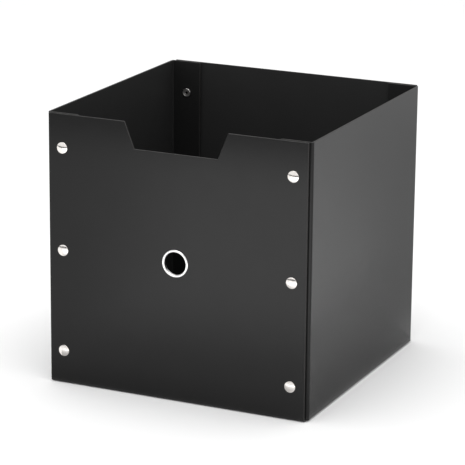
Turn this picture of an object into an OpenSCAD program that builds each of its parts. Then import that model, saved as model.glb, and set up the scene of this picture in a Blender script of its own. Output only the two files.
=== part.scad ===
// Open-topped storage box that folds flat: five laminated boards joined by
// creased folds, four corner flaps behind the front and back walls, twelve
// press snaps that hold the corners, and a metal finger ring in the front wall.
//
// Millimetres, +Z up, the front wall faces -Y. The origin is the centre of the
// underside, on the surface that the box stands on.

/* [Box] */
// Width over the two side walls
box_w = 320; // [240:1:400]
// Depth over the front and back walls, without the snap caps
box_d = 320; // [240:1:400]
// Height from the underside to the rim
box_h = 313; // [240:1:400]

/* [Board and folds] */
// Thickness of the laminated board
board_t = 2; // [1.5:0.1:3]
// Radius on the inside of every fold
fold_ri = 1; // [0.5:0.1:2]
// How far the front and back walls stop short of the sides of the box
wall_inset = 3.5; // [1:0.5:8]

/* [Corner flaps] */
// Width of a flap, from its fold to its free edge
flap_w = 35; // [28:1:60]
// Room between the flap and the wall that it is snapped to
snap_gap = 2.5; // [2.5:0.1:4]
// Room between the lower edge of a flap and the base board
flap_clear = 1; // [0.5:0.5:4]
// Height of the lower end of a corner fold above the underside
corner_lift = 1; // [0.5:0.5:3]

/* [Notch] */
// Width of the notch at the rim of the front wall
notch_top_w = 125; // [80:1:150]
// Width of the notch at its floor
notch_floor_w = 101; // [60:1:125]
// Depth of the notch
notch_depth = 30; // [15:1:60]

/* [Press snaps] */
// Distance from the rim to the top snaps, and from the underside to the lowest
snap_margin = 38.5; // [25:0.5:60]
// Snaps up each corner edge
snap_rows = 3; // [2:1:4]
// Diameter of a snap cap
cap_d = 13; // [11:0.5:15]
// Height of a cap's dome above the board
cap_h = 2.2; // [1.5:0.1:3]
// Height of the straight rim below the dome
cap_rim_h = 0.5; // [0.3:0.1:1]
// Diameter of a socket
socket_d = 11.6; // [10.5:0.1:13]
// Height of a socket above the board
socket_h = 1.6; // [1.4:0.1:2]
// Diameter of the stud that enters the socket
stud_d = 4.8; // [4.6:0.1:5.4]
// Height of the stud above its flange
stud_h = 1.5; // [1.2:0.1:1.6]
// Diameter of the stud's flange
stud_flange_d = 10.4; // [9.5:0.1:12]
// Thickness of the stud's flange
stud_flange_t = 0.6; // [0.4:0.1:0.6]
// Outer diameter of the post's ring, on the inside of the box
post_d = 10; // [9:0.1:12]
// Thickness of the post's ring
post_t = 0.8; // [0.5:0.1:0.9]
// Diameter of the hole through the post
post_bore_d = 3; // [2.4:0.1:3.2]

/* [Finger ring] */
// Height of the ring's centre above the middle of the front wall
finger_rise = 3; // [-20:1:20]
// Clear diameter of the finger hole
finger_d = 26; // [22:0.5:30]
// Outer diameter of the visible ring
ring_d = 31.5; // [28:0.5:38]
// Height of the ring's rounded face above the board
ring_h = 1.2; // [0.8:0.1:1.3]
// Wall of the barrel that passes through the board
barrel_t = 0.7; // [0.5:0.1:1]
// Thickness of the washer behind the board
washer_t = 0.8; // [0.5:0.1:1.2]
// Thickness of the barrel's rolled end
roll_t = 0.5; // [0.4:0.1:0.8]

/* [Clearances] */
// Radial room round metal barrels in the board
hole_clear = 0.1; // [0.05:0.05:0.3]
// Radial room between a stud and its socket
stud_clear = 0.4; // [0.3:0.05:0.6]

/* [Hidden] */
$fn = 96;

black = [0.13, 0.13, 0.135];
nickel = [0.82, 0.82, 0.83];
bright_nickel = [0.93, 0.93, 0.93];

// How far a cutting solid runs past the face that it cuts
over = 1;
fold_ro = fold_ri + board_t;
wall_half_w = box_w / 2 - wall_inset;

// The flap's outer face, as a distance from the box's middle plane
flap_y = box_d / 2 - board_t - snap_gap;
// Axis of a vertical corner fold
corner_x = box_w / 2 - fold_ro;
corner_y = flap_y - fold_ro;
// Edges of the base board, where the folds up to the walls begin
base_x = box_w / 2 - fold_ro;
base_y = box_d / 2 - fold_ro;
flap_z = board_t + flap_clear;

// Snaps stand on the middle line of the flaps
snap_x = corner_x - flap_w / 2;
snap_pitch = (box_h - 2 * snap_margin) / (snap_rows - 1);
snap_heights = [for (i = [0 : snap_rows - 1]) snap_margin + i * snap_pitch];

// The post's tube fits the stud, the stud the socket, the cap's tube the wall
tube_t = 0.4;
post_tube_r = post_bore_d / 2 + tube_t;
socket_bore_r = stud_d / 2 + stud_clear;
cap_tube_r = socket_bore_r + tube_t;
// How far a cap's tube stands into the socket, past the board
cap_tube_reach = 0.5;
// How far a post's tube stands into the stud, past the flap
post_tube_reach = stud_flange_t + stud_h - 2 * tube_t;
// Radius of the sphere that gives the dome
dome_h = cap_h - cap_rim_h;
dome_r = (pow(cap_d / 2, 2) + pow(dome_h, 2)) / (2 * dome_h);

finger_z = box_h / 2 + finger_rise;
barrel_r = finger_d / 2 + barrel_t;
bead_w = (ring_d - finger_d) / 2;
bead_r = (pow(bead_w / 2, 2) + pow(ring_h, 2)) / (2 * ring_h);

// ---- Shapes that repeat ----

// A quarter of a tube about Z, from the +X side to the +Y side
module quarter_fold(length)
    intersection() {
        difference() {
            cylinder(r = fold_ro, h = length);
            translate([0, 0, -over])
                cylinder(r = fold_ri, h = length + 2 * over);
        }
        cube([fold_ro, fold_ro, length]);
    }

// A tube about Z from z0 to z1
module tube(r_out, r_in, z0, z1)
    translate([0, 0, z0])
        difference() {
            cylinder(r = r_out, h = z1 - z0);
            translate([0, 0, -over])
                cylinder(r = r_in, h = z1 - z0 + 2 * over);
        }

// Turns a shape that faces +Z so that it faces -Y, on the front wall's outer face
module on_front(x, z)
    translate([x, -box_d / 2, z])
        rotate([90, 0, 0])
            children();

// One copy at each snap of one corner edge; side is -1 on the left, 1 on the right
module at_snaps(side)
    for (z = snap_heights)
        on_front(side * snap_x, z)
            children();

module at_both_edges()
    for (side = [-1, 1])
        at_snaps(side)
            children();

// Shapes for the back are those of the front, reflected
module at_back()
    mirror([0, 1, 0])
        children();

// Shapes for the right are those of the left, reflected
module at_right()
    mirror([1, 0, 0])
        children();

// ---- Boards ----

module base_board()
    color(black)
        translate([-base_x, -base_y, 0])
            cube([2 * base_x, 2 * base_y, board_t]);

module left_wall()
    color(black)
        translate([-box_w / 2, -corner_y, fold_ro])
            cube([board_t, 2 * corner_y, box_h - fold_ro]);

module right_wall() at_right() left_wall();

// A wall's outline with X across and Y up, from its fold to the rim
module plain_outline()
    translate([-wall_half_w, fold_ro])
        square([2 * wall_half_w, box_h - fold_ro]);

module notch_outline()
    polygon([
        [-notch_floor_w / 2, box_h - notch_depth],
        [notch_floor_w / 2, box_h - notch_depth],
        [notch_top_w / 2, box_h],
        [notch_top_w / 2, box_h + over],
        [-notch_top_w / 2, box_h + over],
        [-notch_top_w / 2, box_h]
    ]);

// Holes for the tubes of the snap caps
module cap_holes()
    for (side = [-1, 1], z = snap_heights)
        translate([side * snap_x, z])
            circle(r = cap_tube_r + hole_clear);

// An outline stood up as the front wall's board
module as_front_board()
    translate([0, board_t - box_d / 2, 0])
        rotate([90, 0, 0])
            linear_extrude(board_t)
                children();

module front_wall()
    color(black)
        as_front_board()
            difference() {
                plain_outline();
                notch_outline();
                cap_holes();
                translate([0, finger_z])
                    circle(r = barrel_r + hole_clear);
            }

module back_wall()
    color(black)
        at_back()
            as_front_board()
                difference() {
                    plain_outline();
                    cap_holes();
                }

module front_left_flap()
    color(black)
        translate([0, board_t - flap_y, 0])
            rotate([90, 0, 0])
                linear_extrude(board_t)
                    difference() {
                        translate([-corner_x, flap_z])
                            square([flap_w, box_h - flap_z]);
                        for (z = snap_heights)
                            translate([-snap_x, z])
                                circle(r = post_tube_r + hole_clear);
                    }

module front_right_flap() at_right() front_left_flap();
module back_left_flap() at_back() front_left_flap();
module back_right_flap() at_back() at_right() front_left_flap();

// ---- Folds ----

// Between the base board and the left wall
module left_base_fold()
    color(black)
        translate([-base_x, corner_y, fold_ro])
            rotate([90, 180, 0])
                quarter_fold(2 * corner_y);

module right_base_fold() at_right() left_base_fold();

// Between the base board and the front wall
module front_base_fold()
    color(black)
        translate([-wall_half_w, -base_y, fold_ro])
            rotate([0, 90, 0])
                mirror([0, 1, 0])
                    quarter_fold(2 * wall_half_w);

module back_base_fold() at_back() front_base_fold();

// Between the left wall and its front flap
module front_left_corner_fold()
    color(black)
        translate([-corner_x, -corner_y, corner_lift])
            rotate([0, 0, 180])
                quarter_fold(box_h - corner_lift);

module front_right_corner_fold() at_right() front_left_corner_fold();
module back_left_corner_fold() at_back() front_left_corner_fold();
module back_right_corner_fold() at_back() at_right() front_left_corner_fold();

// ---- Press snaps, each about Z with the wall's outer face at 0 ----

// Domed cap with the tube that passes through the wall
module snap_cap()
    union() {
        intersection() {
            translate([0, 0, cap_h - dome_r])
                sphere(r = dome_r);
            cylinder(r = cap_d / 2, h = cap_h);
        }
        tube(cap_tube_r, socket_bore_r, -board_t - cap_tube_reach, 0);
    }

// Ring behind the wall, which the cap's tube holds and the stud enters
module snap_socket()
    translate([0, 0, -board_t - socket_h])
        difference() {
            cylinder(r = socket_d / 2, h = socket_h);
            translate([0, 0, -over])
                cylinder(r = socket_bore_r, h = socket_h + 2 * over);
            translate([0, 0, socket_h - cap_tube_reach])
                cylinder(r = cap_tube_r + hole_clear, h = cap_tube_reach + over);
        }

// Hollow stud with its flange on the flap's outer face
module snap_stud()
    translate([0, 0, -board_t - snap_gap])
        difference() {
            union() {
                cylinder(r = stud_flange_d / 2, h = stud_flange_t);
                cylinder(r = stud_d / 2, h = stud_flange_t + stud_h);
            }
            translate([0, 0, -over])
                cylinder(r = post_tube_r + hole_clear, h = over + stud_flange_t + stud_h - tube_t);
        }

// Open ring on the flap's inner face, with the tube that holds the stud
module snap_post()
    translate([0, 0, -2 * board_t - snap_gap])
        difference() {
            union() {
                translate([0, 0, -post_t])
                    cylinder(r = post_d / 2, h = post_t);
                cylinder(r = post_tube_r, h = board_t + post_tube_reach);
            }
            translate([0, 0, -post_t - over])
                cylinder(d = post_bore_d, h = post_t + board_t + post_tube_reach + 2 * over);
        }

module front_snap_caps() color(nickel) at_both_edges() snap_cap();
module back_snap_caps() at_back() front_snap_caps();

module front_snap_sockets() color(nickel) at_both_edges() snap_socket();
module back_snap_sockets() at_back() front_snap_sockets();

module front_left_snap_studs() color(nickel) at_snaps(-1) snap_stud();
module front_right_snap_studs() at_right() front_left_snap_studs();
module back_left_snap_studs() at_back() front_left_snap_studs();
module back_right_snap_studs() at_back() at_right() front_left_snap_studs();

module front_left_snap_posts() color(nickel) at_snaps(-1) snap_post();
module front_right_snap_posts() at_right() front_left_snap_posts();
module back_left_snap_posts() at_back() front_left_snap_posts();
module back_right_snap_posts() at_back() at_right() front_left_snap_posts();

// ---- Finger ring ----

// Rounded face, barrel through the board, and rolled end behind the washer
module finger_ring()
    color(bright_nickel)
        on_front(0, finger_z)
            union() {
                rotate_extrude()
                    intersection() {
                        translate([(finger_d + bead_w) / 2, ring_h - bead_r])
                            circle(r = bead_r);
                        translate([finger_d / 2, 0])
                            square([bead_w, ring_h]);
                    }
                tube(barrel_r, finger_d / 2, -board_t - washer_t, 0);
                tube(finger_d / 2 + bead_w * 0.7, finger_d / 2,
                    -board_t - washer_t - roll_t, -board_t - washer_t);
            }

module finger_ring_washer()
    color(nickel)
        on_front(0, finger_z)
            tube(ring_d / 2, barrel_r + hole_clear, -board_t - washer_t, -board_t);

base_board();
left_wall();
right_wall();
front_wall();
back_wall();
left_base_fold();
right_base_fold();
front_base_fold();
back_base_fold();
front_left_corner_fold();
front_right_corner_fold();
back_left_corner_fold();
back_right_corner_fold();
front_left_flap();
front_right_flap();
back_left_flap();
back_right_flap();
front_snap_caps();
back_snap_caps();
front_snap_sockets();
back_snap_sockets();
front_left_snap_studs();
front_right_snap_studs();
back_left_snap_studs();
back_right_snap_studs();
front_left_snap_posts();
front_right_snap_posts();
back_left_snap_posts();
back_right_snap_posts();
finger_ring();
finger_ring_washer();
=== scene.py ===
"""Looks for a folding storage box: laminated boards, creased folds, press snaps, finger ring."""

import math

import bmesh
import bpy
from mathutils import Matrix, Vector
from mathutils.geometry import delaunay_2d_cdt


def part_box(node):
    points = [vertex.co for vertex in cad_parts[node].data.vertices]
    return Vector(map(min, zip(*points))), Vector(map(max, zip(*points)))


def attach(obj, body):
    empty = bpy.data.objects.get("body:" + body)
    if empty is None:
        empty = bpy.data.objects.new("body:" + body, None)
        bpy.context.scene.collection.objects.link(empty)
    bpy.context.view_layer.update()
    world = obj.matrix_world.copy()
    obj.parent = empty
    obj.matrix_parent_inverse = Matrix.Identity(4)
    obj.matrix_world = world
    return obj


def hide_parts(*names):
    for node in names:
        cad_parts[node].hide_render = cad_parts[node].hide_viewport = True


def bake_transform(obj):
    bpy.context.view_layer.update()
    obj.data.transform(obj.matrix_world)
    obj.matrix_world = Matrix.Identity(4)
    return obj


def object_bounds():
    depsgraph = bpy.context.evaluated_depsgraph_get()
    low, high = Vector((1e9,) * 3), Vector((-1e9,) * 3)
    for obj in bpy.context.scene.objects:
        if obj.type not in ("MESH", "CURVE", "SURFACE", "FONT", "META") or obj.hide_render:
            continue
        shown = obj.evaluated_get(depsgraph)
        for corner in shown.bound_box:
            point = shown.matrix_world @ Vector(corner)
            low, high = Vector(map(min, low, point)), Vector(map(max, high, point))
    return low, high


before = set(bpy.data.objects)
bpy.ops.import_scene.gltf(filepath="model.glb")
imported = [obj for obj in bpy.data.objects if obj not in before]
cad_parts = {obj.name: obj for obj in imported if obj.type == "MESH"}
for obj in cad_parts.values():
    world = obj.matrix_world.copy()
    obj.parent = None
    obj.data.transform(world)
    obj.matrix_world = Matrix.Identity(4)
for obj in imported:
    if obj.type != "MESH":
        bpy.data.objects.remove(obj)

CAD_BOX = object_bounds()
MM = 0.001

# ---- Sizes of the board, in metres; the outlines come from the CAD boxes ----

BOARD_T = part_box("front_wall")[1].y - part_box("front_wall")[0].y
EDGE_R = 0.35 * MM          # rounding of a cut edge
EDGE_STEPS = 4
RIM_BAND = 0.65 * MM        # width of the worn band beside a cut edge
CORNER_R = 0.8 * MM         # rounding of a board's corners in its own plane
ARC_STEP = math.radians(11)
FOLD_STEPS = 20
FILL_PITCH = 16 * MM        # spacing of the points inside a board's face
FILL_MARGIN = 5 * MM
SAME_SPOT = 0.001 * MM      # points closer than this are one point
PARALLEL = 1e-5             # two edges whose directions differ by less go straight on
ON_AXIS = 1e-7              # a turned outline's radius below which it is a point of the axis
FILL_EPSILON = 1e-7
SHARP_ANGLE = math.radians(40)
BASE_GAP = 0.05 * MM        # keeps the base clear of the walls' lower edges as they turn

NOTCH_TOP_W = 125 * MM
NOTCH_FLOOR_W = 101 * MM
NOTCH_DEPTH = 30 * MM

# ---- Sizes of the press snaps and the finger ring ----

CAP_R = 6.5 * MM
CAP_H = 2.2 * MM
CAP_ROLL = 0.42 * MM        # radius of the cap's rolled rim
SOCKET_BORE_R = 2.8 * MM
TUBE_T = 0.4 * MM
CAP_TUBE_R = SOCKET_BORE_R + TUBE_T
CAP_TUBE_REACH = 0.5 * MM
SOCKET_R = 5.8 * MM
SOCKET_H = 1.6 * MM
STUD_R = 2.4 * MM
STUD_H = 1.5 * MM
STUD_FLANGE_R = 5.2 * MM
STUD_FLANGE_T = 0.6 * MM
POST_R = 5.0 * MM
POST_T = 0.8 * MM
POST_BORE_R = 1.5 * MM
POST_TUBE_R = POST_BORE_R + TUBE_T
STUD_BORE_R = POST_TUBE_R + 0.15 * MM  # faces of studs and posts within this take painted shade
POST_TUBE_REACH = STUD_FLANGE_T + STUD_H - 2 * TUBE_T
HOLE_CLEAR = 0.1 * MM
SNAP_SEGMENTS = 56
CAP_HOLE_SEGMENTS = 32
POST_HOLE_SEGMENTS = 28
DOME_STEPS = 14
CAP_ROLL_STEPS = 9

FINGER_R = 13.0 * MM
RING_R = 15.75 * MM
RING_H = 1.2 * MM
BARREL_T = 0.7 * MM
WASHER_T = 0.8 * MM
ROLL_T = 0.5 * MM
ROLL_R = 14.92 * MM
RING_SEGMENTS = 120
RING_HOLE_SEGMENTS = 96
BEAD_STEPS = 18

# ---- Names and order ----

OUTER_SLOT, CORE_SLOT, INNER_SLOT = 0, 1, 2  # material slots of boards and folds
PLAIN_SLOT, BORE_SLOT = 0, 1                 # material slots of turned metal; the bore slot takes painted shade on studs and posts
CORNERS = [("front", "left"), ("front", "right"), ("back", "left"), ("back", "right")]
SIGN = {"left": -1, "right": 1, "front": -1, "back": 1}


# ---- Outlines ----

def fillet(points, radii):
    """A closed outline with each corner turned into an arc of its own radius."""
    out = []
    for i, point in enumerate(points):
        p = Vector(point)
        if radii[i] <= 0:
            out.append(p)
            continue
        a = (Vector(points[i - 1]) - p).normalized()
        b = (Vector(points[(i + 1) % len(points)]) - p).normalized()
        half = a.angle(b) / 2
        centre = p + (a + b).normalized() * (radii[i] / math.sin(half))
        first = p + a * (radii[i] / math.tan(half)) - centre
        last = p + b * (radii[i] / math.tan(half)) - centre
        turn = math.pi - 2 * half
        if first.x * last.y - first.y * last.x < 0:
            turn = -turn
        steps = max(2, math.ceil(abs(turn) / ARC_STEP))
        for k in range(steps + 1):
            out.append(centre + Matrix.Rotation(turn * k / steps, 2) @ first)
    return out


def arc(centre, radius, start, end, steps):
    """Points of an arc, angles in radians."""
    angles = [start + (end - start) * k / steps for k in range(steps + 1)]
    return [(centre[0] + radius * math.cos(t), centre[1] + radius * math.sin(t)) for t in angles]


def circle_hole(x, y, radius, segments):
    """A hole's outline, clockwise, so that the board lies on its left."""
    return [Vector(p) for p in arc((x, y), radius, 0, -2 * math.pi, segments)[:-1]]


def inset_loop(points, insets):
    """The outline moved into the board, each edge by its own inset."""
    out = []
    count = len(points)
    for i, p in enumerate(points):
        before = (p - points[i - 1]).normalized()
        after = (points[(i + 1) % count] - p).normalized()
        n0, n1 = Vector((-before.y, before.x)), Vector((-after.y, after.x))
        d0, d1 = insets[i - 1], insets[i]
        cross = n0.x * n1.y - n0.y * n1.x
        if abs(cross) < PARALLEL:
            out.append(p + n0 * d0)
            continue
        out.append(p + Vector((d0 * n1.y - d1 * n0.y, d1 * n0.x - d0 * n1.x)) / cross)
    return out


def edge_profile():
    """(inset, depth, wear) from the outer face, round the cut edge, to the inner face.

    The insets hold for a cut edge; a joined edge has the same depths and no inset.
    """
    turns = [math.pi / 2 * k / EDGE_STEPS for k in range(EDGE_STEPS + 1)]
    near = [(EDGE_R * (1 - math.sin(t)), EDGE_R * (1 - math.cos(t)), 1.0) for t in turns]
    near = [(RIM_BAND, 0.0, 0.0)] + near
    far = [(inset, BOARD_T - depth, wear) for inset, depth, wear in reversed(near)]
    return near + far


# ---- Meshes ----

def make_piece(name, verts, faces, materials, slots=None, wear=None):
    """A closed mesh object with smooth curves, sharp creases and area-weighted normals."""
    mesh = bpy.data.meshes.new(name)
    mesh.from_pydata([tuple(v) for v in verts], [], faces)
    for material in materials:
        mesh.materials.append(material)
    if slots:
        mesh.polygons.foreach_set("material_index", slots)
    if wear:
        mesh.attributes.new("edge_wear", "FLOAT", "POINT").data.foreach_set("value", wear)
    bm = bmesh.new()
    bm.from_mesh(mesh)
    bmesh.ops.recalc_face_normals(bm, faces=bm.faces)
    bm.to_mesh(mesh)
    bm.free()
    mesh.shade_smooth()
    mesh.set_sharp_from_angle(angle=SHARP_ANGLE)
    obj = bpy.data.objects.new(name, mesh)
    bpy.context.scene.collection.objects.link(obj)
    weighted = obj.modifiers.new("flat_faces", "WEIGHTED_NORMAL")
    weighted.keep_sharp = True
    return obj


def inside(p, loop):
    """True if the point is inside the closed outline."""
    found = False
    for i, a in enumerate(loop):
        b = loop[i - 1]
        if (a.y > p.y) != (b.y > p.y):
            if p.x < (b.x - a.x) * (p.y - a.y) / (b.y - a.y) + a.x:
                found = not found
    return found


def gap_to(p, loop):
    """Distance from the point to the outline."""
    best = math.inf
    for i, a in enumerate(loop):
        edge = loop[i - 1] - a
        t = max(0.0, min(1.0, (p - a).dot(edge) / edge.length_squared))
        best = min(best, (a + edge * t - p).length)
    return best


def fill_points(outer, holes):
    """Evenly spaced points inside the face, clear of every outline."""
    low = Vector((min(p.x for p in outer), min(p.y for p in outer)))
    high = Vector((max(p.x for p in outer), max(p.y for p in outer)))
    counts = [max(1, round((high[k] - low[k]) / FILL_PITCH)) for k in range(2)]
    found = []
    for i in range(1, counts[0]):
        for j in range(1, counts[1]):
            p = Vector((
                low.x + (high.x - low.x) * i / counts[0],
                low.y + (high.y - low.y) * j / counts[1],
            ))
            if not inside(p, outer) or gap_to(p, outer) < FILL_MARGIN:
                continue
            if all(not inside(p, h) and gap_to(p, h) > FILL_MARGIN / 2 for h in holes):
                found.append(p)
    return found


def fill_face(loops):
    """Triangles of a face between its outlines, and the points added inside it.

    The triangles index the outlines' points in order, then the added points.
    """
    points = [p for loop in loops for p in loop]
    edges, start = [], 0
    for loop in loops:
        edges += [(start + i, start + (i + 1) % len(loop)) for i in range(len(loop))]
        start += len(loop)
    extra = fill_points(loops[0], loops[1:])
    points = points + extra
    out, _, faces, origin, _, _ = delaunay_2d_cdt(points, edges, [], 1, FILL_EPSILON)
    kept = []
    for face in faces:
        centre = sum((out[i] for i in face), Vector((0, 0))) / len(face)
        if inside(centre, loops[0]) and not any(inside(centre, h) for h in loops[1:]):
            kept.append([origin[i][0] for i in face])
    return kept, extra


def layer_slot(step):
    """Material slot at a step of the edge profile."""
    middle = EDGE_STEPS + 1
    return OUTER_SLOT if step < middle else CORE_SLOT if step == middle else INNER_SLOT


def edge_rings(points, is_free, place, verts, wear):
    """Rings of vertices round one outline, one for each step of the edge profile.

    A vertex that would fall on the one before it is that vertex, with the lesser wear.
    """
    rings = []
    for inset, depth, worn in edge_profile():
        ring = []
        for i, p in enumerate(inset_loop(points, [inset if f else 0.0 for f in is_free])):
            spot = place(p.x, p.y, depth)
            before = rings[-1][i] if rings else None
            if before is not None and (verts[before] - spot).length < SAME_SPOT:
                ring.append(before)
                wear[before] = min(wear[before], worn)
                continue
            ring.append(len(verts))
            verts.append(spot)
            wear.append(worn)
        rings.append(ring)
    return rings


def edge_faces(rings):
    """(face, material slot) between the rings, leaving out faces that shared vertices closed up."""
    found = []
    for k in range(len(rings) - 1):
        for i in range(len(rings[k])):
            j = (i + 1) % len(rings[k])
            corners = (rings[k][i], rings[k][j], rings[k + 1][j], rings[k + 1][i])
            face = tuple(dict.fromkeys(corners))
            if len(face) > 2:
                found.append((face, layer_slot(k)))
    return found


def board(name, outline, free, holes, place, materials):
    """A board from its outline.

    free says which edges are cut, and place puts (u, v, depth) in the world.
    """
    loops = [(outline, free)] + [(h, [True] * len(h)) for h in holes]
    verts, faces, wear, first, last = [], [], [], [], []
    for points, is_free in loops:
        rings = edge_rings(points, is_free, place, verts, wear)
        faces += edge_faces(rings)
        first.append(rings[0])
        last.append(rings[-1])
    flat = [inset_loop(p, [RIM_BAND if f else 0.0 for f in is_free]) for p, is_free in loops]
    triangles, extra = fill_face(flat)
    for rings, depth, slot in ((first, 0.0, OUTER_SLOT), (last, BOARD_T, INNER_SLOT)):
        index = [i for ring in rings for i in ring]
        index += range(len(verts), len(verts) + len(extra))
        verts += [place(p.x, p.y, depth) for p in extra]
        wear += [0.0] * len(extra)
        faces += [(tuple(index[i] for i in t), slot) for t in triangles]
    shapes, slots = [face for face, _ in faces], [slot for _, slot in faces]
    return make_piece(name, verts, shapes, materials, slots, wear)


def fold(name, length_from, length_to, place, materials):
    """A quarter of a bent strip, both ends cut. place puts (depth, angle, length) in the world."""
    section = []
    for inset, depth, worn in edge_profile():
        section.append((length_to - inset, depth, worn))
    for inset, depth, worn in reversed(edge_profile()):
        section.append((length_from + inset, depth, worn))
    verts, faces, slots, wear = [], [], [], []
    size = len(section)
    half = size // 2
    for k in range(FOLD_STEPS + 1):
        angle = math.pi / 2 * k / FOLD_STEPS
        verts += [place(depth, angle, along) for along, depth, _ in section]
        wear += [worn for _, _, worn in section]
    for k in range(FOLD_STEPS):
        for i in range(size):
            a, b = k * size + i, k * size + (i + 1) % size
            faces.append((a, b, b + size, a + size))
            slots.append(layer_slot(i if i < half else size - 2 - i))
    faces.append(tuple(range(size)))
    faces.append(tuple(range(FOLD_STEPS * size, (FOLD_STEPS + 1) * size)))
    slots += [OUTER_SLOT, OUTER_SLOT]
    return make_piece(name, verts, faces, materials, slots, wear)


def lathe(profile, segments, centre, outward):
    """A closed (radius, height) outline turned about the outward direction.

    Returns its vertices, its faces and each face's largest radius.
    """
    side = Vector((1, 0, 0))
    up = outward.cross(side)
    verts, faces, reach, rows = [], [], [], []
    for radius, height in profile:
        base = centre + outward * height
        if radius < ON_AXIS:
            rows.append([len(verts)] * segments)
            verts.append(base)
            continue
        rows.append(list(range(len(verts), len(verts) + segments)))
        for s in range(segments):
            t = 2 * math.pi * s / segments
            verts.append(base + (side * math.cos(t) + up * math.sin(t)) * radius)
    for i, row in enumerate(rows):
        following = rows[(i + 1) % len(rows)]
        widest = max(profile[i][0], profile[(i + 1) % len(rows)][0])
        if row[0] == row[1] and following[0] == following[1]:
            continue
        for s in range(segments):
            n = (s + 1) % segments
            corners = (row[s], row[n], following[n], following[s])
            faces.append(tuple(dict.fromkeys(corners)))
            reach.append(widest)
    return verts, faces, reach


def turned_group(name, profile, segments, places, outward, materials, bore=0.0):
    """The same turned part at several places. Faces inside the bore take the second material, which on
    studs and posts is painted shade.
    """
    verts, faces, slots = [], [], []
    for centre in places:
        part, part_faces, reach = lathe(profile, segments, centre, outward)
        faces += [tuple(i + len(verts) for i in f) for f in part_faces]
        verts += part
        slots += [BORE_SLOT if r < bore else PLAIN_SLOT for r in reach]
    return make_piece(name, verts, faces, materials, slots)


# ---- Profiles of the metal parts: (radius, height above the wall's outer face) ----

def cap_profile():
    """Shallow dome with a rim rolled under, and the tube that goes through the wall."""
    a, k = CAP_R - CAP_ROLL, CAP_H - CAP_ROLL
    dome_r = (a * a + k * k - CAP_ROLL ** 2) / (2 * (k - CAP_ROLL))
    tilt = math.atan2(a, dome_r - k)
    dome = arc((0, CAP_H - dome_r), dome_r, math.pi / 2, math.pi / 2 - tilt, DOME_STEPS)
    dome[0] = (0.0, CAP_H)
    roll = arc((a, CAP_ROLL), CAP_ROLL, math.pi / 2 - tilt, -math.pi / 2, CAP_ROLL_STEPS)
    end = -BOARD_T - CAP_TUBE_REACH
    tube = fillet(
        [(a - 0.4 * MM, 0), (CAP_TUBE_R, 0), (CAP_TUBE_R, end), (SOCKET_BORE_R, end),
         (SOCKET_BORE_R, -0.2 * MM), (0, -0.2 * MM)],
        [0, 0, 0.12 * MM, 0.12 * MM, 0, 0],
    )
    return dome + roll[1:] + [tuple(p) for p in tube]


def socket_profile():
    """Ring with a rolled outer rim, a dished face and a raised lip round the bore."""
    top = -BOARD_T
    low, seat = top - SOCKET_H, top - CAP_TUBE_REACH
    dish, lip = low + 0.55 * MM, low + 0.1 * MM
    seat_r = CAP_TUBE_R + HOLE_CLEAR
    return fillet(
        [(SOCKET_R, top), (SOCKET_R, low), (SOCKET_R - 1.0 * MM, low),
         (SOCKET_R - 1.3 * MM, dish), (SOCKET_BORE_R + 0.9 * MM, dish),
         (SOCKET_BORE_R + 0.7 * MM, lip), (SOCKET_BORE_R, lip),
         (SOCKET_BORE_R, seat), (seat_r, seat), (seat_r, top)],
        [x * MM for x in (0.15, 0.4, 0.35, 0.15, 0.15, 0.2, 0.25, 0.05, 0.05, 0.05)],
    )


def stud_profile(flap_face):
    """Flange with a rounded edge and a hollow stud with a waist below its round head."""
    flange = flap_face + STUD_FLANGE_T
    tip = flange + STUD_H
    bore = POST_TUBE_R + HOLE_CLEAR
    waist = STUD_R - 0.25 * MM
    return fillet(
        [(bore, flap_face), (STUD_FLANGE_R, flap_face), (STUD_FLANGE_R, flange),
         (waist, flange), (waist, flange + 0.45 * MM), (STUD_R, flange + 0.8 * MM),
         (STUD_R, tip), (0, tip), (0, tip - TUBE_T), (bore, tip - TUBE_T)],
        [x * MM for x in (0.05, 0.15, 0.25, 0.2, 0.1, 0.2, 0.55, 0, 0, 0.1)],
    )


def post_profile(flap_inner):
    """Open ring with a rolled rim, its face drawn into the hole, and the tube behind it."""
    face = flap_inner - POST_T
    end = flap_inner + BOARD_T + POST_TUBE_REACH
    return fillet(
        [(POST_TUBE_R, flap_inner), (POST_TUBE_R, end), (POST_BORE_R, end),
         (POST_BORE_R, face + 0.3 * MM), (POST_BORE_R + 0.75 * MM, face + 0.12 * MM),
         (POST_R - 1.3 * MM, face + 0.16 * MM), (POST_R - 0.9 * MM, face), (POST_R, face),
         (POST_R, flap_inner)],
        [x * MM for x in (0, 0.1, 0.1, 0.35, 0.4, 0.3, 0.3, 0.38, 0.15)],
    )


def ring_profile():
    """Rounded bead, barrel through the board, and the end rolled out over the washer."""
    middle, half = (FINGER_R + RING_R) / 2, (RING_R - FINGER_R) / 2
    turns = [math.pi * k / BEAD_STEPS for k in range(BEAD_STEPS + 1)]
    bead = [(middle + half * math.cos(t), RING_H * math.sin(t)) for t in turns]
    back = -BOARD_T - WASHER_T
    tail = fillet(
        [(FINGER_R, back - ROLL_T), (ROLL_R, back - ROLL_T), (ROLL_R, back),
         (FINGER_R + BARREL_T, back), (FINGER_R + BARREL_T, 0)],
        [x * MM for x in (0.42, 0.3, 0.12, 0, 0)],
    )
    return bead + [tuple(p) for p in tail]


def washer_profile():
    """Flat washer, a little dished."""
    inner = FINGER_R + BARREL_T + HOLE_CLEAR
    front, back = -BOARD_T, -BOARD_T - WASHER_T
    return fillet(
        [(inner, front), (inner, back), (RING_R, back + 0.15 * MM), (RING_R, front)],
        [x * MM for x in (0.1, 0.1, 0.3, 0.15)],
    )


# ---- Materials: noise scales in cells per metre, bump depths in metres ----

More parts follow.
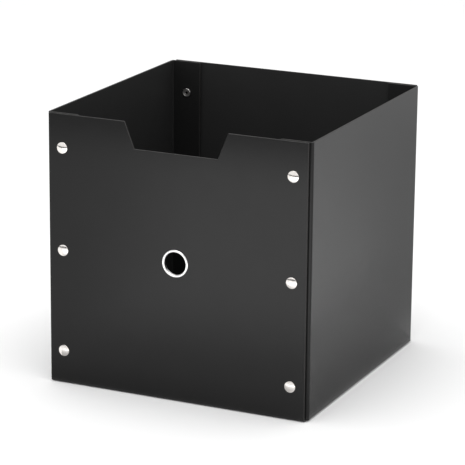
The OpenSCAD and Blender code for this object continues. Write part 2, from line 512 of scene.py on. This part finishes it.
MOTTLE_SCALE = 14.0
FLECK_SCALE = 900.0
RUBBED_SCALE = 260.0
SHEEN_SCALE = 40.0
UNEVEN_SCALE = 22.0
UNEVEN_DEPTH = 0.0004
EMBOSS_SCALE = 1700.0
EMBOSS_DEPTH = 0.00004
GRAIN_SCALE = 2600.0
GRAIN_DEPTH = 0.00003
RUBBED_TONE = 0.034
LAMINATE_IOR = 1.28
FIBRE_SCALE = 1400.0
FIBRE_DEPTH = 0.00008
FIBRE_SHEEN_SCALE = 500.0
FIBRE_IOR = 1.4
TARNISH_SCALE = 260.0
SMUDGE_SCALE = 480.0
SCRATCH_TURN = (0.3, 0.5, 0.4)
SCRATCH_STRETCH = (9000.0, 9000.0, 350.0)
SCRATCH_DEPTH = 0.00001
CLOUD_SCALE = 1.5


def node(tree, kind, **inputs):
    """A node with its inputs set to values or linked to sockets."""
    made = tree.nodes.new(kind)
    for name, value in inputs.items():
        socket = made.inputs[name]
        if isinstance(value, bpy.types.NodeSocket):
            tree.links.new(value, socket)
        else:
            socket.default_value = value
    return made


def new_material(name):
    """An empty node material; returns (material, tree, shader)."""
    material = bpy.data.materials.new(name)
    material.use_nodes = True
    tree = material.node_tree
    tree.nodes.clear()
    out = tree.nodes.new("ShaderNodeOutputMaterial")
    shader = tree.nodes.new("ShaderNodeBsdfPrincipled")
    tree.links.new(shader.outputs["BSDF"], out.inputs["Surface"])
    return material, tree, shader


def noise(tree, where, scale, detail=2.0, rough=0.5):
    """Noise texture's value at the given coordinates, scale in cells per metre."""
    made = node(tree, "ShaderNodeTexNoise", Vector=where, Scale=scale, Detail=detail, Roughness=rough)
    return made.outputs["Fac"]


def mapped(tree, value, low, high, out_low, out_high):
    """A value moved from one range to another, clamped."""
    made = node(tree, "ShaderNodeMapRange", Value=value)
    for name, number in (("From Min", low), ("From Max", high), ("To Min", out_low), ("To Max", out_high)):
        made.inputs[name].default_value = number
    return made.outputs["Result"]


def mixed(tree, factor, first, second):
    """A colour between two colours or colour sockets."""
    made = tree.nodes.new("ShaderNodeMix")
    made.data_type = "RGBA"
    for index, value in ((0, factor), (6, first), (7, second)):
        if isinstance(value, bpy.types.NodeSocket):
            tree.links.new(value, made.inputs[index])
        else:
            made.inputs[index].default_value = value
    return made.outputs[2]


def times(tree, a, b):
    """Product of two values."""
    made = tree.nodes.new("ShaderNodeMath")
    made.operation = "MULTIPLY"
    for index, value in ((0, a), (1, b)):
        if isinstance(value, bpy.types.NodeSocket):
            tree.links.new(value, made.inputs[index])
        else:
            made.inputs[index].default_value = value
    return made.outputs[0]


def bump(tree, height, strength, distance, under=None):
    """A bump, laid over another one if given."""
    made = node(tree, "ShaderNodeBump", Height=height, Strength=strength, Distance=distance)
    if under is not None:
        tree.links.new(under, made.inputs["Normal"])
    return made.outputs["Normal"]


def grey(value, warm=0.0):
    """A near-neutral colour; warm is the share by which red is above and blue below green."""
    return (value * (1 + warm), value, value * (1 - warm), 1.0)


def laminate(name, tone, gloss_low=0.20, gloss_high=0.24):
    """Black matt laminate: fine emboss, faint mottling, a slightly uneven board below, rubbed edges."""
    material, tree, shader = new_material(name)
    where = tree.nodes.new("ShaderNodeTexCoord").outputs["Object"]
    mottle = mapped(tree, noise(tree, where, MOTTLE_SCALE, 4.0, 0.6), 0.3, 0.7, 0.0, 1.0)
    base = mixed(tree, mottle, grey(tone * 0.96), grey(tone * 1.04))
    fleck = mapped(tree, noise(tree, where, FLECK_SCALE, 2.0, 0.6), 0.62, 0.78, 0.0, 0.5)
    base = mixed(tree, fleck, base, grey(tone * 1.7))
    worn = node(tree, "ShaderNodeAttribute")
    worn.attribute_name = "edge_wear"
    patches = mapped(tree, noise(tree, where, RUBBED_SCALE, 4.0, 0.65), 0.4, 0.72, 0.15, 0.9)
    rubbed = times(tree, worn.outputs["Fac"], patches)
    tree.links.new(mixed(tree, rubbed, base, grey(RUBBED_TONE, 0.02)), shader.inputs["Base Color"])
    sheen = mapped(tree, noise(tree, where, SHEEN_SCALE, 5.0, 0.6), 0.3, 0.7, gloss_low, gloss_high)
    tree.links.new(sheen, shader.inputs["Roughness"])
    uneven = bump(tree, noise(tree, where, UNEVEN_SCALE, 2.0, 0.4), 0.12, UNEVEN_DEPTH)
    emboss = node(tree, "ShaderNodeTexVoronoi", Vector=where, Scale=EMBOSS_SCALE)
    embossed = bump(tree, emboss.outputs["Distance"], 0.20, EMBOSS_DEPTH, uneven)
    grain = bump(tree, noise(tree, where, GRAIN_SCALE, 2.0, 0.6), 0.18, GRAIN_DEPTH, embossed)
    tree.links.new(grain, shader.inputs["Normal"])
    shader.inputs["IOR"].default_value = LAMINATE_IOR
    return material


def board_core(name):
    """The cut edge of solid board: dark grey layers of pressed fibre."""
    material, tree, shader = new_material(name)
    where = tree.nodes.new("ShaderNodeTexCoord").outputs["Object"]
    fibre = mapped(tree, noise(tree, where, FIBRE_SCALE, 4.0, 0.7), 0.3, 0.7, 0.0, 1.0)
    tone = mixed(tree, fibre, grey(0.022, 0.02), grey(0.045, 0.04))
    tree.links.new(tone, shader.inputs["Base Color"])
    rough = mapped(tree, noise(tree, where, FIBRE_SHEEN_SCALE, 2.0, 0.5), 0.3, 0.7, 0.65, 0.85)
    tree.links.new(rough, shader.inputs["Roughness"])
    tree.links.new(bump(tree, fibre, 0.5, FIBRE_DEPTH), shader.inputs["Normal"])
    shader.inputs["IOR"].default_value = FIBRE_IOR
    return material


def plated(name, low, high, rough_low, rough_high):
    """Plated metal with faint smudges, fine scratches and a little tarnish."""
    material, tree, shader = new_material(name)
    where = tree.nodes.new("ShaderNodeTexCoord").outputs["Object"]
    tarnish = mapped(tree, noise(tree, where, TARNISH_SCALE, 4.0, 0.6), 0.3, 0.75, 0.0, 1.0)
    tree.links.new(mixed(tree, tarnish, high, low), shader.inputs["Base Color"])
    smudge = mapped(tree, noise(tree, where, SMUDGE_SCALE, 5.0, 0.7), 0.3, 0.75, rough_low, rough_high)
    tree.links.new(smudge, shader.inputs["Roughness"])
    stretched = tree.nodes.new("ShaderNodeMapping")
    tree.links.new(where, stretched.inputs["Vector"])
    stretched.inputs["Rotation"].default_value = SCRATCH_TURN
    stretched.inputs["Scale"].default_value = SCRATCH_STRETCH
    scratch = noise(tree, stretched.outputs["Vector"], 1.0, 3.0, 0.6)
    tree.links.new(bump(tree, scratch, 0.12, SCRATCH_DEPTH), shader.inputs["Normal"])
    shader.inputs["Metallic"].default_value = 1.0
    return material


def floor_material():
    """Plain pale matt floor."""
    material, tree, shader = new_material("pale_floor")
    where = tree.nodes.new("ShaderNodeTexCoord").outputs["Object"]
    cloud = mapped(tree, noise(tree, where, CLOUD_SCALE, 3.0, 0.5), 0.3, 0.7, 0.0, 1.0)
    tree.links.new(mixed(tree, cloud, grey(0.89), grey(0.91)), shader.inputs["Base Color"])
    shader.inputs["Roughness"].default_value = 0.9
    shader.inputs["Specular IOR Level"].default_value = 0.2
    return material


WALL_SKIN = laminate("black_laminate", 0.0125)
# The inner faces take the same black laminate at twice the outer skin's tone: painted light that brightens
# the box's inside.
PAINTED_LIGHT_LINING = laminate("black_lining_painted_light", 0.0250, 0.32, 0.38)
FLAP_SKIN = laminate("black_laminate_flap", 0.012, 0.42, 0.48)
CORE = board_core("board_core")
BOARD_SKINS = [WALL_SKIN, CORE, PAINTED_LIGHT_LINING]
NICKEL = plated("nickel_plate", grey(0.80, 0.05), grey(0.90, 0.035), 0.12, 0.2)
DULL = plated("dull_nickel", grey(0.84, 0.03), grey(0.92, 0.02), 0.28, 0.36)
# Painted shade: a dark copy of the plated metal for the faces inside the studs' and posts' bores, where the
# deep hole lies in shade.
BORE_SHADE = plated("painted_bore_shade", grey(0.04, 0.03), grey(0.07, 0.02), 0.40, 0.50)
BRIGHT = plated("bright_nickel", grey(0.93, 0.01), grey(0.98, 0.005), 0.26, 0.36)


# ---- Boards ----

def placer(origin, across, up, inward):
    """A function that puts (u, v, depth) in the world."""
    return lambda u, v, depth: origin + across * u + up * v + inward * depth


X, Y, Z = Vector((1, 0, 0)), Vector((0, 1, 0)), Vector((0, 0, 1))


def outline_of(corners, kinds):
    """Outline and free flags. kinds gives, for the edge after each corner, whether it is cut."""
    radii = [CORNER_R if kinds[i - 1] and kinds[i] else 0.0 for i in range(len(corners))]
    points, free = [], []
    for i, corner in enumerate(corners):
        arc_points = fillet_at(corners, radii, i)
        points += arc_points
        free += [True] * (len(arc_points) - 1) + [kinds[i]]
    return points, free


def fillet_at(corners, radii, i):
    """The points that stand for one corner of an outline."""
    around = [corners[i - 1], corners[i], corners[(i + 1) % len(corners)]]
    return fillet(around, [0.0, radii[i], 0.0])[1:-1]


def snap_spots(group):
    """(x, z) of the snaps' centres from a CAD group's box on one corner edge."""
    low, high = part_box(group)
    radius = (high.x - low.x) / 2
    first, last = low.z + radius, high.z - radius
    return [((low.x + high.x) / 2, first + (last - first) * k / 2) for k in range(3)]


def wall_spots():
    """(x, z) of all six snaps of a wall."""
    return snap_spots("front_left_snap_posts") + snap_spots("front_right_snap_posts")


def ring_centre():
    """Centre of the finger ring on the front wall's outer face."""
    low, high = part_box("finger_ring")
    return Vector(((low.x + high.x) / 2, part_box("front_wall")[0].y, (low.z + high.z) / 2))


def rectangle(low, high):
    """Corners of a rectangle, anticlockwise."""
    return [(low[0], low[1]), (high[0], low[1]), (high[0], high[1]), (low[0], high[1])]


def front_panel():
    """Front wall's board, with the notch in its rim, six snap holes and the ring's hole."""
    low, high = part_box("front_wall")
    rim = high.z
    corners = [
        (low.x, low.z), (high.x, low.z), (high.x, rim),
        (NOTCH_TOP_W / 2, rim), (NOTCH_FLOOR_W / 2, rim - NOTCH_DEPTH),
        (-NOTCH_FLOOR_W / 2, rim - NOTCH_DEPTH), (-NOTCH_TOP_W / 2, rim), (low.x, rim),
    ]
    points, free = outline_of(corners, [False] + [True] * 7)
    holes = [circle_hole(x, z, CAP_TUBE_R + HOLE_CLEAR, CAP_HOLE_SEGMENTS) for x, z in wall_spots()]
    centre = ring_centre()
    ring_hole_r = FINGER_R + BARREL_T + HOLE_CLEAR
    holes.append(circle_hole(centre.x, centre.z, ring_hole_r, RING_HOLE_SEGMENTS))
    place = placer(Vector((0, low.y, 0)), X, Z, Y)
    return board("front_panel", points, free, holes, place, BOARD_SKINS)


def back_panel():
    """Back wall's board, with six snap holes."""
    low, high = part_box("back_wall")
    points, free = outline_of(rectangle((low.x, low.z), (high.x, high.z)), [False, True, True, True])
    holes = [circle_hole(x, z, CAP_TUBE_R + HOLE_CLEAR, CAP_HOLE_SEGMENTS) for x, z in wall_spots()]
    place = placer(Vector((0, high.y, 0)), X, Z, -Y)
    return board("back_panel", points, free, holes, place, BOARD_SKINS)


def side_panel(side):
    """Left or right wall's board."""
    low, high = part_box(f"{side}_wall")
    points, free = outline_of(rectangle((low.y, low.z), (high.y, high.z)), [False, False, True, False])
    outer = low.x if side == "left" else high.x
    place = placer(Vector((outer, 0, 0)), Y, Z, -X * SIGN[side])
    return board(f"{side}_panel", points, free, [], place, BOARD_SKINS)


def base_panel():
    """Base board, joined on all four edges."""
    low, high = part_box("base_board")
    near, far = (low.x + BASE_GAP, low.y + BASE_GAP), (high.x - BASE_GAP, high.y - BASE_GAP)
    points, free = outline_of(rectangle(near, far), [False] * 4)
    place = placer(Vector((0, 0, low.z)), X, Y, Z)
    return board("base_panel", points, free, [], place, BOARD_SKINS)


def flap_panel(end, side):
    """Corner flap's board, with three snap holes, joined along its fold."""
    low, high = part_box(f"{end}_{side}_flap")
    kinds = [True, side == "left", True, side == "right"]
    points, free = outline_of(rectangle((low.x, low.z), (high.x, high.z)), kinds)
    spots = snap_spots(f"{end}_{side}_snap_posts")
    holes = [circle_hole(x, z, POST_TUBE_R + HOLE_CLEAR, POST_HOLE_SEGMENTS) for x, z in spots]
    outer = low.y if end == "front" else high.y
    place = placer(Vector((0, outer, 0)), X, Z, -Y * SIGN[end])
    return board(f"{end}_{side}_flap_panel", points, free, holes, place, [FLAP_SKIN, CORE, FLAP_SKIN])


# ---- Folds ----

def bend_placer(axis_point, start, end, along, outer_r):
    """A function that puts (depth, angle, length) in the world, bending from start to end."""
    def place(depth, angle, length):
        out = start * math.cos(angle) + end * math.sin(angle)
        return axis_point + out * (outer_r - depth) + along * length
    return place


def corner_crease(end, side):
    """Fold between a side wall and a flap."""
    low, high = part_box(f"{end}_{side}_corner_fold")
    radius = high.x - low.x
    axis = Vector((
        high.x if side == "left" else low.x,
        high.y if end == "front" else low.y, 0,
    ))
    place = bend_placer(axis, X * SIGN[side], Y * SIGN[end], Z, radius)
    piece = fold(f"{end}_{side}_corner_crease", low.z, high.z, place, BOARD_SKINS)
    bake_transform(piece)
    return piece


def wall_crease(end):
    """Fold between the base and the front or back wall."""
    low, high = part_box(f"{end}_base_fold")
    radius = high.z - low.z
    axis = Vector((0, high.y if end == "front" else low.y, high.z))
    place = bend_placer(axis, -Z, Y * SIGN[end], X, radius)
    piece = fold(f"{end}_base_crease", low.x, high.x, place, BOARD_SKINS)
    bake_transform(piece)
    return piece


def side_crease(side):
    """Fold between the base and a side wall, which doesn't move."""
    low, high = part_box(f"{side}_base_fold")
    radius = high.z - low.z
    axis = Vector((high.x if side == "left" else low.x, 0, high.z))
    place = bend_placer(axis, -Z, X * SIGN[side], Y, radius)
    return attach(fold(f"{side}_base_crease", low.y, high.y, place, BOARD_SKINS), "box")


# ---- Metal parts ----

def wall_places(end):
    """Snap centres on a wall's outer face."""
    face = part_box(f"{end}_wall")[0 if end == "front" else 1].y
    return [Vector((x, face, z)) for x, z in wall_spots()]


def flap_places(end, side):
    """Snap centres of one flap, on the outer face of the wall that it meets."""
    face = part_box(f"{end}_wall")[0 if end == "front" else 1].y
    return [Vector((x, face, z)) for x, z in snap_spots(f"{end}_{side}_snap_posts")]


def finish_piece(piece, body, replaced):
    """Hands a piece to its body, if one is given, and hides the CAD node that it stands for."""
    if body:
        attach(piece, body)
    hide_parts(replaced)


def snap_group(name, profile, places, end, body, replaced, metals, bore=0.0):
    """One kind of snap part at all its places, handed to its body."""
    outward = Y * SIGN[end]
    piece = turned_group(name, profile, SNAP_SEGMENTS, places, outward, metals, bore)
    finish_piece(piece, body, replaced)


def flap_depths(end, side):
    """Heights of a flap's outer and inner face, measured from the wall's outer face."""
    low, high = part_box(f"{end}_{side}_flap")
    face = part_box(f"{end}_wall")[0 if end == "front" else 1].y
    near, far = (low.y, high.y) if end == "front" else (high.y, low.y)
    return -abs(near - face), -abs(far - face)


def build_boards():
    """The nine boards."""
    finish_piece(base_panel(), "box", "base_board")
    finish_piece(side_panel("left"), "box", "left_wall")
    finish_piece(side_panel("right"), "box", "right_wall")
    finish_piece(front_panel(), "front_wall", "front_wall")
    finish_piece(back_panel(), "back_wall", "back_wall")
    for end, side in CORNERS:
        flap = f"{end}_{side}_flap"
        finish_piece(flap_panel(end, side), flap, flap)


def build_folds():
    """The eight folds; the two under the side walls go on the box."""
    for side in ("left", "right"):
        finish_piece(side_crease(side), None, f"{side}_base_fold")
    for end in ("front", "back"):
        finish_piece(wall_crease(end), None, f"{end}_base_fold")
    for end, side in CORNERS:
        finish_piece(corner_crease(end, side), None, f"{end}_{side}_corner_fold")


def build_snaps():
    """Caps and sockets on the walls, studs and posts on the flaps."""
    for end in ("front", "back"):
        wall = f"{end}_wall"
        for name, profile, metal in (("caps", cap_profile(), NICKEL), ("sockets", socket_profile(), DULL)):
            snap_group(f"{end}_{name}", profile, wall_places(end), end, wall, f"{end}_snap_{name}", [metal])
    for end, side in CORNERS:
        outer, inner = flap_depths(end, side)
        flap, places = f"{end}_{side}_flap", flap_places(end, side)
        profiles = (("studs", stud_profile(outer)), ("posts", post_profile(inner)))
        for name, profile in profiles:
            corner = f"{end}_{side}"
            # Faces inside the bore take painted shade.
            snap_group(
                f"{corner}_{name}", profile, places, end, flap, f"{corner}_snap_{name}",
                [DULL, BORE_SHADE], STUD_BORE_R,
            )


def build_finger_ring():
    """The ring on the front wall and the washer behind it."""
    for name, profile, metal, replaced in (
        ("finger_eyelet", ring_profile(), BRIGHT, "finger_ring"),
        ("finger_washer", washer_profile(), NICKEL, "finger_ring_washer"),
    ):
        piece = turned_group(name, profile, RING_SEGMENTS, [ring_centre()], -Y, [metal])
        finish_piece(piece, "front_wall", replaced)


# ---- Floor, light and camera ----

FLOOR_HALF = 30.0
FLOOR_Z = -0.0004
WALL_OUT = 0.16             # the walls' outer faces, from the middle
SLANT = 0.456               # x per y of the floor's points that the walls mirror to the camera
START_OUT = 0.165           # where the painted shadow skirt, the shade patch and the side glow start

# Dark bar that only reflections see: a painted dark band in the snap caps.
BAR_Y = -0.49
BAR_LOW, BAR_HIGH = 0.205, 0.275
BAR_START, BAR_END = -1.5, 0.6
BAR_TONE = 0.01

# Dark strip round the feet of the front and right wall that only reflections see: a painted reflection of
# the contact shadow.
SKIRT_Z = 0.002
SKIRT_SIDE = 0.17
SKIRT_FRONT = 0.24
SKIRT_ROWS = ((0.0, 0.65), (0.12, 0.6), (0.35, 0.3), (1.0, 0.0))  # (share of its width, cover)
SKIRT_CORNER = 0.6          # share of the cover left at the front right corner
SKIRT_BACK = 0.4            # and at the back
# Tone of the dark strips that paint shade into the walls' reflections.
PAINTED_SHADE_TONE = 0.1

# Dark patch beside the right wall that only reflections see: painted shade on the right wall, growing
# towards its rear.
PATCH_Z = 0.001
PATCH_COVER = 0.5
PATCH_REACH = ((0.0, 0.0), (0.12, 1.0), (0.9, 1.0), (1.3, 0.0))   # (distance out, share of cover)
PATCH_START = ((-0.16, 0.0), (0.0, PATCH_COVER / 2), (0.16, PATCH_COVER),
               (0.6, PATCH_COVER), (1.0, 0.0))                    # (y at the wall, cover)

# Glowing strips that only reflections see paint light into the walls; CARD_TONE is their base tone.
CARD_Z = 0.003
CARD_TONE = 0.8
# Glowing strip beside the right wall: a painted reflection of light on the right wall's front part.
SIDE_GLOW = 0.4
SIDE_REACH = ((0.25, 0.0), (0.4, 1.0), (1.3, 1.0), (1.6, 0.0))
SIDE_START = ((-0.9, 0.0), (-0.5, 1.0), (-0.1, 1.0), (0.15, 0.0))
# Glowing strip in front: a painted reflection of light on the front wall.
WHITE_GLOW = 1.5
WHITE_EDGE = -0.08          # x on the front wall from which the painted glow shows
WHITE_ROWS = ((-0.32, 0.0), (-0.54, 1.0), (-1.8, 1.0), (-2.4, 0.0))      # (y, cover)
WHITE_COLUMNS = ((-0.06, 0.0), (0.06, 1.0), (0.9, 1.0), (1.4, 0.0))      # (x from the edge, share)

ROOM_STRENGTH = 0.95
KEY_PLACE, KEY_TARGET = (0.15, -0.5, 3.2), (0, 0, 0.1)
KEY_SIZE = 3.0
KEY_POWER = 50.0


def build_floor():
    """A plain pale floor, a hair below the underside."""
    corners = rectangle((-FLOOR_HALF, -FLOOR_HALF), (FLOOR_HALF, FLOOR_HALF))
    mesh = bpy.data.meshes.new("floor")
    mesh.from_pydata([(x, y, FLOOR_Z) for x, y in corners], [], [(0, 1, 2, 3)])
    mesh.materials.append(floor_material())
    floor = bpy.data.objects.new("floor", mesh)
    bpy.context.scene.collection.objects.link(floor)


def build_painted_reflection(name, rows, tone, glow=0.0):
    """Painted reflection: a dark sheet, or a glowing one, that casts no shadow and only reflections and
    refractions see.

    rows is a grid of ((x, y, z), cover), where cover is how opaque it is there.
    """
    material, tree, shader = new_material(name)
    shader.inputs["Base Color"].default_value = grey(tone)
    shader.inputs["Roughness"].default_value = 0.9
    shader.inputs["Emission Color"].default_value = grey(1.0)
    shader.inputs["Emission Strength"].default_value = glow
    cover = tree.nodes.new("ShaderNodeAttribute")
    cover.attribute_name = "cover"
    tree.links.new(cover.outputs["Fac"], shader.inputs["Alpha"])
    points = [entry for row in rows for entry in row]
    wide = len(rows[0])
    faces = [
        (i * wide + k, i * wide + k + 1, (i + 1) * wide + k + 1, (i + 1) * wide + k)
        for i in range(len(rows) - 1) for k in range(wide - 1)
    ]
    mesh = bpy.data.meshes.new(name)
    mesh.from_pydata([place for place, amount in points], [], faces)
    mesh.attributes.new("cover", "FLOAT", "POINT").data.foreach_set(
        "value", [amount for place, amount in points])
    mesh.materials.append(material)
    flag = bpy.data.objects.new(name, mesh)
    bpy.context.scene.collection.objects.link(flag)
    flag.visible_camera = False
    flag.visible_diffuse = False
    flag.visible_shadow = False


def bar_rows():
    """Upright dark bar in front, which only reflections see: the snap caps mirror it as a painted dark
    band.
    """
    return [[((x, BAR_Y, z), 1.0) for x in (BAR_START, BAR_END)] for z in (BAR_LOW, BAR_HIGH)]


def skirt_rows():
    """Dark strip on the floor round the front and the right wall, which only reflections see: painted
    shadow that darkens their feet.
    """
    rows = []
    for share, amount in SKIRT_ROWS:
        x, y = START_OUT + SKIRT_SIDE * share, START_OUT + SKIRT_FRONT * share
        rows.append([
            ((-x, -y, SKIRT_Z), amount), ((x, -y, SKIRT_Z), amount * SKIRT_CORNER),
            ((x, y, SKIRT_Z), amount * SKIRT_BACK),
        ])
    return rows


def slanted_rows(reaches, starts, height):
    """Strip on the floor beside the right wall, along the lines that it mirrors to the camera."""
    return [
        [((START_OUT + SLANT * reach, start + reach, height), amount * fade)
         for start, amount in starts]
        for reach, fade in reaches
    ]


def white_rows():
    """Glowing strip on the floor in front, which only reflections see: a painted reflection that brightens
    the front wall to the right of its edge.
    """
    rows = []
    for y, amount in WHITE_ROWS:
        edge = WHITE_EDGE + SLANT * (y + WALL_OUT)
        rows.append([((edge + aside, y, CARD_Z), amount * share) for aside, share in WHITE_COLUMNS])
    return rows


def build_painted_reflections():
    """Painted reflections: dark and glowing strips that only reflections see, standing in for the studio's
    shade and light in the surfaces.
    """
    build_painted_reflection("painted_reflection_bar", bar_rows(), BAR_TONE)
    build_painted_reflection("painted_shadow_skirt", skirt_rows(), PAINTED_SHADE_TONE)
    build_painted_reflection("painted_shade_patch", slanted_rows(PATCH_REACH, PATCH_START, PATCH_Z), PAINTED_SHADE_TONE)
    build_painted_reflection("painted_glow_side", slanted_rows(SIDE_REACH, SIDE_START, CARD_Z), CARD_TONE, SIDE_GLOW)
    build_painted_reflection("painted_glow_front", white_rows(), CARD_TONE, WHITE_GLOW)


def soft_light(name, place, target, size, power):
    """A round area light that faces its target."""
    light = bpy.data.lights.new(name, "AREA")
    light.shape = "DISK"
    light.size = size
    light.energy = power
    obj = bpy.data.objects.new(name, light)
    obj.location = place
    obj.rotation_mode = "QUATERNION"
    obj.rotation_quaternion = (Vector(place) - Vector(target)).to_track_quat("Z", "Y")
    bpy.context.scene.collection.objects.link(obj)


def build_light():
    """A bright room, one soft key from above, and plain colours."""
    world = bpy.data.worlds.new("white_room")
    world.use_nodes = True
    background = world.node_tree.nodes["Background"]
    background.inputs["Color"].default_value = (1.0, 1.0, 1.0, 1.0)
    background.inputs["Strength"].default_value = ROOM_STRENGTH
    bpy.context.scene.world = world
    soft_light("key", KEY_PLACE, KEY_TARGET, KEY_SIZE, KEY_POWER)
    bpy.context.scene.view_settings.view_transform = "Standard"


CAMERA_AZIMUTH = math.radians(24.86)
CAMERA_ELEVATION = math.radians(15.86)
CAMERA_ROLL = math.radians(0.55)
CAMERA_DISTANCE = 2.8758
CAMERA_LENS = 193.2
CAMERA_ASIDE = -0.0047      # small moves in the picture's plane
CAMERA_RISE = -0.0019


def build_camera():
    """The camera at the photo's angle, distance and lens."""
    a, e = CAMERA_AZIMUTH, CAMERA_ELEVATION
    back = Vector((math.sin(a) * math.cos(e), -math.cos(a) * math.cos(e), math.sin(e)))
    level = Vector((math.cos(a), math.sin(a), 0))
    rise = back.cross(level)
    right = level * math.cos(CAMERA_ROLL) + rise * math.sin(CAMERA_ROLL)
    up = rise * math.cos(CAMERA_ROLL) - level * math.sin(CAMERA_ROLL)
    low, high = CAD_BOX
    middle = Z * (low.z + high.z) / 2
    data = bpy.data.cameras.new("camera")
    data.lens = CAMERA_LENS
    camera = bpy.data.objects.new("camera", data)
    turn = Matrix((right, up, back)).transposed().to_4x4()
    place = middle + back * CAMERA_DISTANCE + right * CAMERA_ASIDE + up * CAMERA_RISE
    camera.matrix_world = Matrix.Translation(place) @ turn
    bpy.context.scene.collection.objects.link(camera)
    bpy.context.scene.camera = camera


build_boards()
build_folds()
build_snaps()
build_finger_ring()
build_floor()
build_painted_reflections()
build_light()
build_camera()
